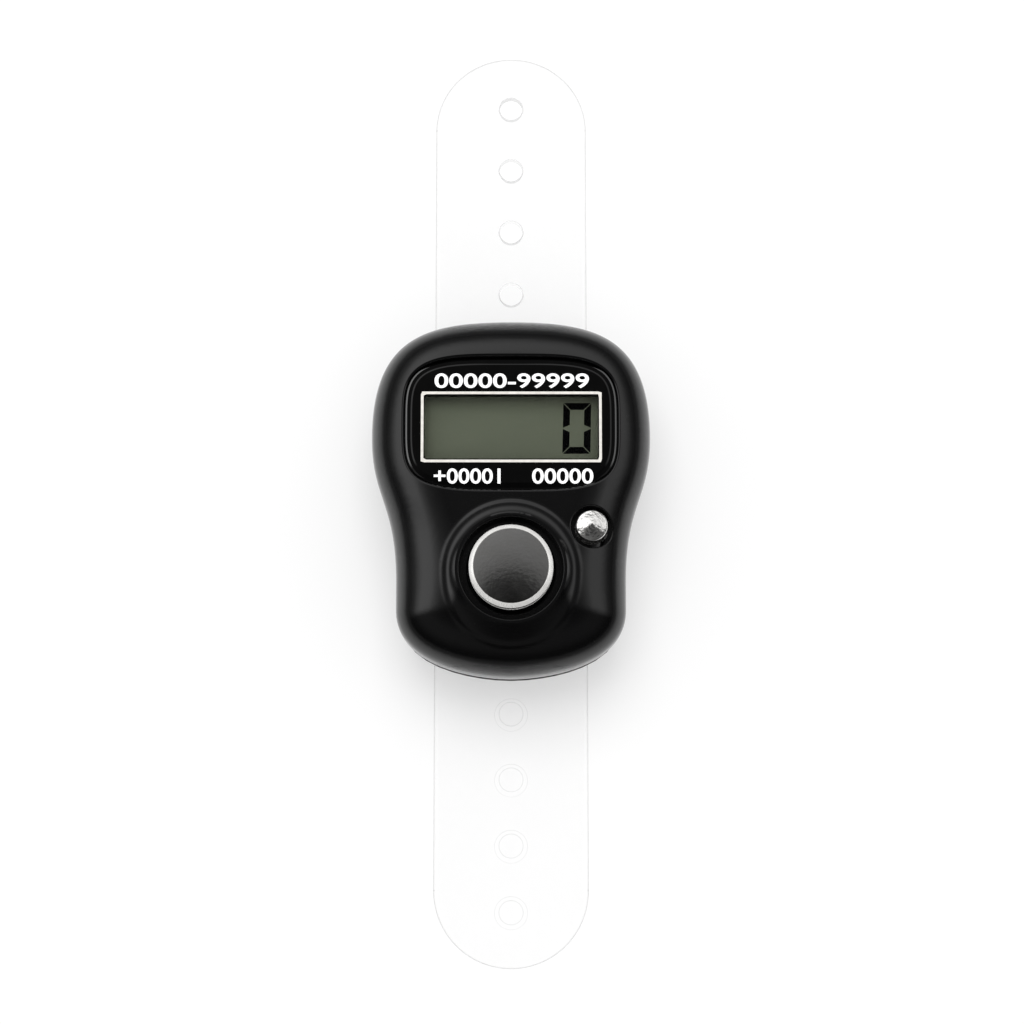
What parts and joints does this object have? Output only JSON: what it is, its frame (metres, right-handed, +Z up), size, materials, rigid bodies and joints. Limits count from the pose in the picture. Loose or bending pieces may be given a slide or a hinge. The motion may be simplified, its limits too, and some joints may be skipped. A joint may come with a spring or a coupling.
{
  "type": "hand tally counter",
  "caption": "Finger-worn electronic tally counter: glossy waisted case with a small display, chrome count and reset buttons, and a clear strap with holes and studs.",
  "frame": {"origin": "on the surface it lies on, under the centre of the strap and of the belt loops", "axes": "+Z up through the buttons, +Y along the strap towards the display end, +X towards the side with the reset button"},
  "size_m": [0.0282, 0.0954, 0.015],
  "materials": {
    "case_gloss_black": "high gloss moulded",
    "back_satin_black": "satin moulded",
    "lens_clear": "clear polished, black print on its back",
    "tape_black": "black double-sided film",
    "lcd_glass": "polarised grey-green",
    "lcd_film": "brushed reflective film",
    "zebra_rubber": "matt",
    "foam_grey": "matt foam",
    "board_green": "solder mask",
    "epoxy_black": "glossy epoxy",
    "ceramic_tan": "matt ceramic",
    "contact_steel": "spring steel, nickel plated",
    "cell_steel": "bright nickel-plated steel",
    "button_chrome": "bright chrome plating",
    "dome_silicone": "matt silicone",
    "carbon_black": "matt carbon rubber",
    "screw_zinc": "zinc plated",
    "strap_clear": "clear glossy soft plastic"
  },
  "bodies": {
    "case": {"front_cover": "case_gloss_black", "back_cover": "back_satin_black", "display_lens": "lens_clear", "lens_tape": "tape_black", "lcd_panel": "lcd_glass", "lcd_reflector": "lcd_film", "zebra_strip": "zebra_rubber", "lcd_support_foam": "foam_grey", "circuit_board": "board_green", "chip_blob": "epoxy_black", "timing_capacitor": "ceramic_tan", "timing_resistor": "epoxy_black", "cell_positive_contact": "contact_steel", "cell_negative_contact": "contact_steel", "button_cell": "cell_steel", "count_rubber_dome": "dome_silicone", "reset_rubber_dome": "dome_silicone", "case_screw_1": "screw_zinc", "case_screw_2": "screw_zinc", "case_screw_3": "screw_zinc", "case_screw_4": "screw_zinc", "board_screw_1": "screw_zinc", "board_screw_2": "screw_zinc", "strap_middle": "strap_clear"},
    "count_key": {"count_button": "button_chrome", "count_contact_pill": "carbon_black"},
    "reset_key": {"reset_button": "button_chrome", "reset_contact_pill": "carbon_black"},
    "door": {"battery_door": "back_satin_black"},
    "hole_strap_1": {"strap_hole_link_1": "strap_clear"},
    "hole_strap_2": {"strap_hole_link_2": "strap_clear"},
    "hole_strap_3": {"strap_hole_link_3": "strap_clear"},
    "hole_strap_4": {"strap_hole_link_4": "strap_clear"},
    "hole_strap_5": {"strap_hole_link_5": "strap_clear"},
    "stud_strap_1": {"strap_stud_link_1": "strap_clear"},
    "stud_strap_2": {"strap_stud_link_2": "strap_clear"},
    "stud_strap_3": {"strap_stud_link_3": "strap_clear"},
    "stud_strap_4": {"strap_stud_link_4": "strap_clear"},
    "stud_strap_5": {"strap_stud_link_5": "strap_clear"}
  },
  "joints": [
    {"name": "count_press", "type": "slide", "parent": "case", "child": "count_key", "axis": [0, 0, -1], "range_m": [0, 0.00095], "stiffness_N_per_m": 1800, "springref_m": -0.0003, "deforming": ["count_rubber_dome"]},
    {"name": "reset_press", "type": "slide", "parent": "case", "child": "reset_key", "axis": [0, 0, -1], "range_m": [0, 0.0008], "stiffness_N_per_m": 1500, "springref_m": -0.0003, "deforming": ["reset_rubber_dome"]},
    {"name": "door_turn", "type": "hinge", "parent": "case", "child": "door", "pos_m": [0, 0, 0.003], "axis": [0, 0, -1], "range_deg": [0, 50]},
    {"name": "hole_strap_bend_1", "type": "hinge", "parent": "case", "child": "hole_strap_1", "pos_m": [0, 0.01202, 0.00175], "axis": [-1, 0, 0], "range_deg": [0, 60], "stiffness_Nm_per_rad": 0.0021},
    {"name": "hole_strap_bend_2", "type": "hinge", "parent": "hole_strap_1", "child": "hole_strap_2", "pos_m": [0, 0.01872, 0.00175], "axis": [-1, 0, 0], "range_deg": [0, 27], "stiffness_Nm_per_rad": 0.0021},
    {"name": "hole_strap_bend_3", "type": "hinge", "parent": "hole_strap_2", "child": "hole_strap_3", "pos_m": [0, 0.02542, 0.00175], "axis": [-1, 0, 0], "range_deg": [0, 27], "stiffness_Nm_per_rad": 0.0021},
    {"name": "hole_strap_bend_4", "type": "hinge", "parent": "hole_strap_3", "child": "hole_strap_4", "pos_m": [0, 0.03212, 0.00175], "axis": [-1, 0, 0], "range_deg": [0, 27], "stiffness_Nm_per_rad": 0.0021},
    {"name": "hole_strap_bend_5", "type": "hinge", "parent": "hole_strap_4", "child": "hole_strap_5", "pos_m": [0, 0.03882, 0.00175], "axis": [-1, 0, 0], "range_deg": [0, 27], "stiffness_Nm_per_rad": 0.0021},
    {"name": "stud_strap_bend_1", "type": "hinge", "parent": "case", "child": "stud_strap_1", "pos_m": [0, -0.01202, 0.00175], "axis": [1, 0, 0], "range_deg": [0, 64], "stiffness_Nm_per_rad": 0.0021},
    {"name": "stud_strap_bend_2", "type": "hinge", "parent": "stud_strap_1", "child": "stud_strap_2", "pos_m": [0, -0.01872, 0.00175], "axis": [1, 0, 0], "range_deg": [0, 28.8], "stiffness_Nm_per_rad": 0.0021},
    {"name": "stud_strap_bend_3", "type": "hinge", "parent": "stud_strap_2", "child": "stud_strap_3", "pos_m": [0, -0.02542, 0.00175], "axis": [1, 0, 0], "range_deg": [0, 28.8], "stiffness_Nm_per_rad": 0.0021},
    {"name": "stud_strap_bend_4", "type": "hinge", "parent": "stud_strap_3", "child": "stud_strap_4", "pos_m": [0, -0.03212, 0.00175], "axis": [1, 0, 0], "range_deg": [0, 28.8], "stiffness_Nm_per_rad": 0.0021},
    {"name": "stud_strap_bend_5", "type": "hinge", "parent": "stud_strap_4", "child": "stud_strap_5", "pos_m": [0, -0.03882, 0.00175], "axis": [1, 0, 0], "range_deg": [0, 28.8], "stiffness_Nm_per_rad": 0.0021}
  ],
  "couplings": [
    {"joint": "hole_strap_bend_2", "follows": "hole_strap_bend_1", "ratio": 0.45},
    {"joint": "hole_strap_bend_3", "follows": "hole_strap_bend_1", "ratio": 0.45},
    {"joint": "hole_strap_bend_4", "follows": "hole_strap_bend_1", "ratio": 0.45},
    {"joint": "hole_strap_bend_5", "follows": "hole_strap_bend_1", "ratio": 0.45},
    {"joint": "stud_strap_bend_2", "follows": "stud_strap_bend_1", "ratio": 0.45},
    {"joint": "stud_strap_bend_3", "follows": "stud_strap_bend_1", "ratio": 0.45},
    {"joint": "stud_strap_bend_4", "follows": "stud_strap_bend_1", "ratio": 0.45},
    {"joint": "stud_strap_bend_5", "follows": "stud_strap_bend_1", "ratio": 0.45}
  ]
}
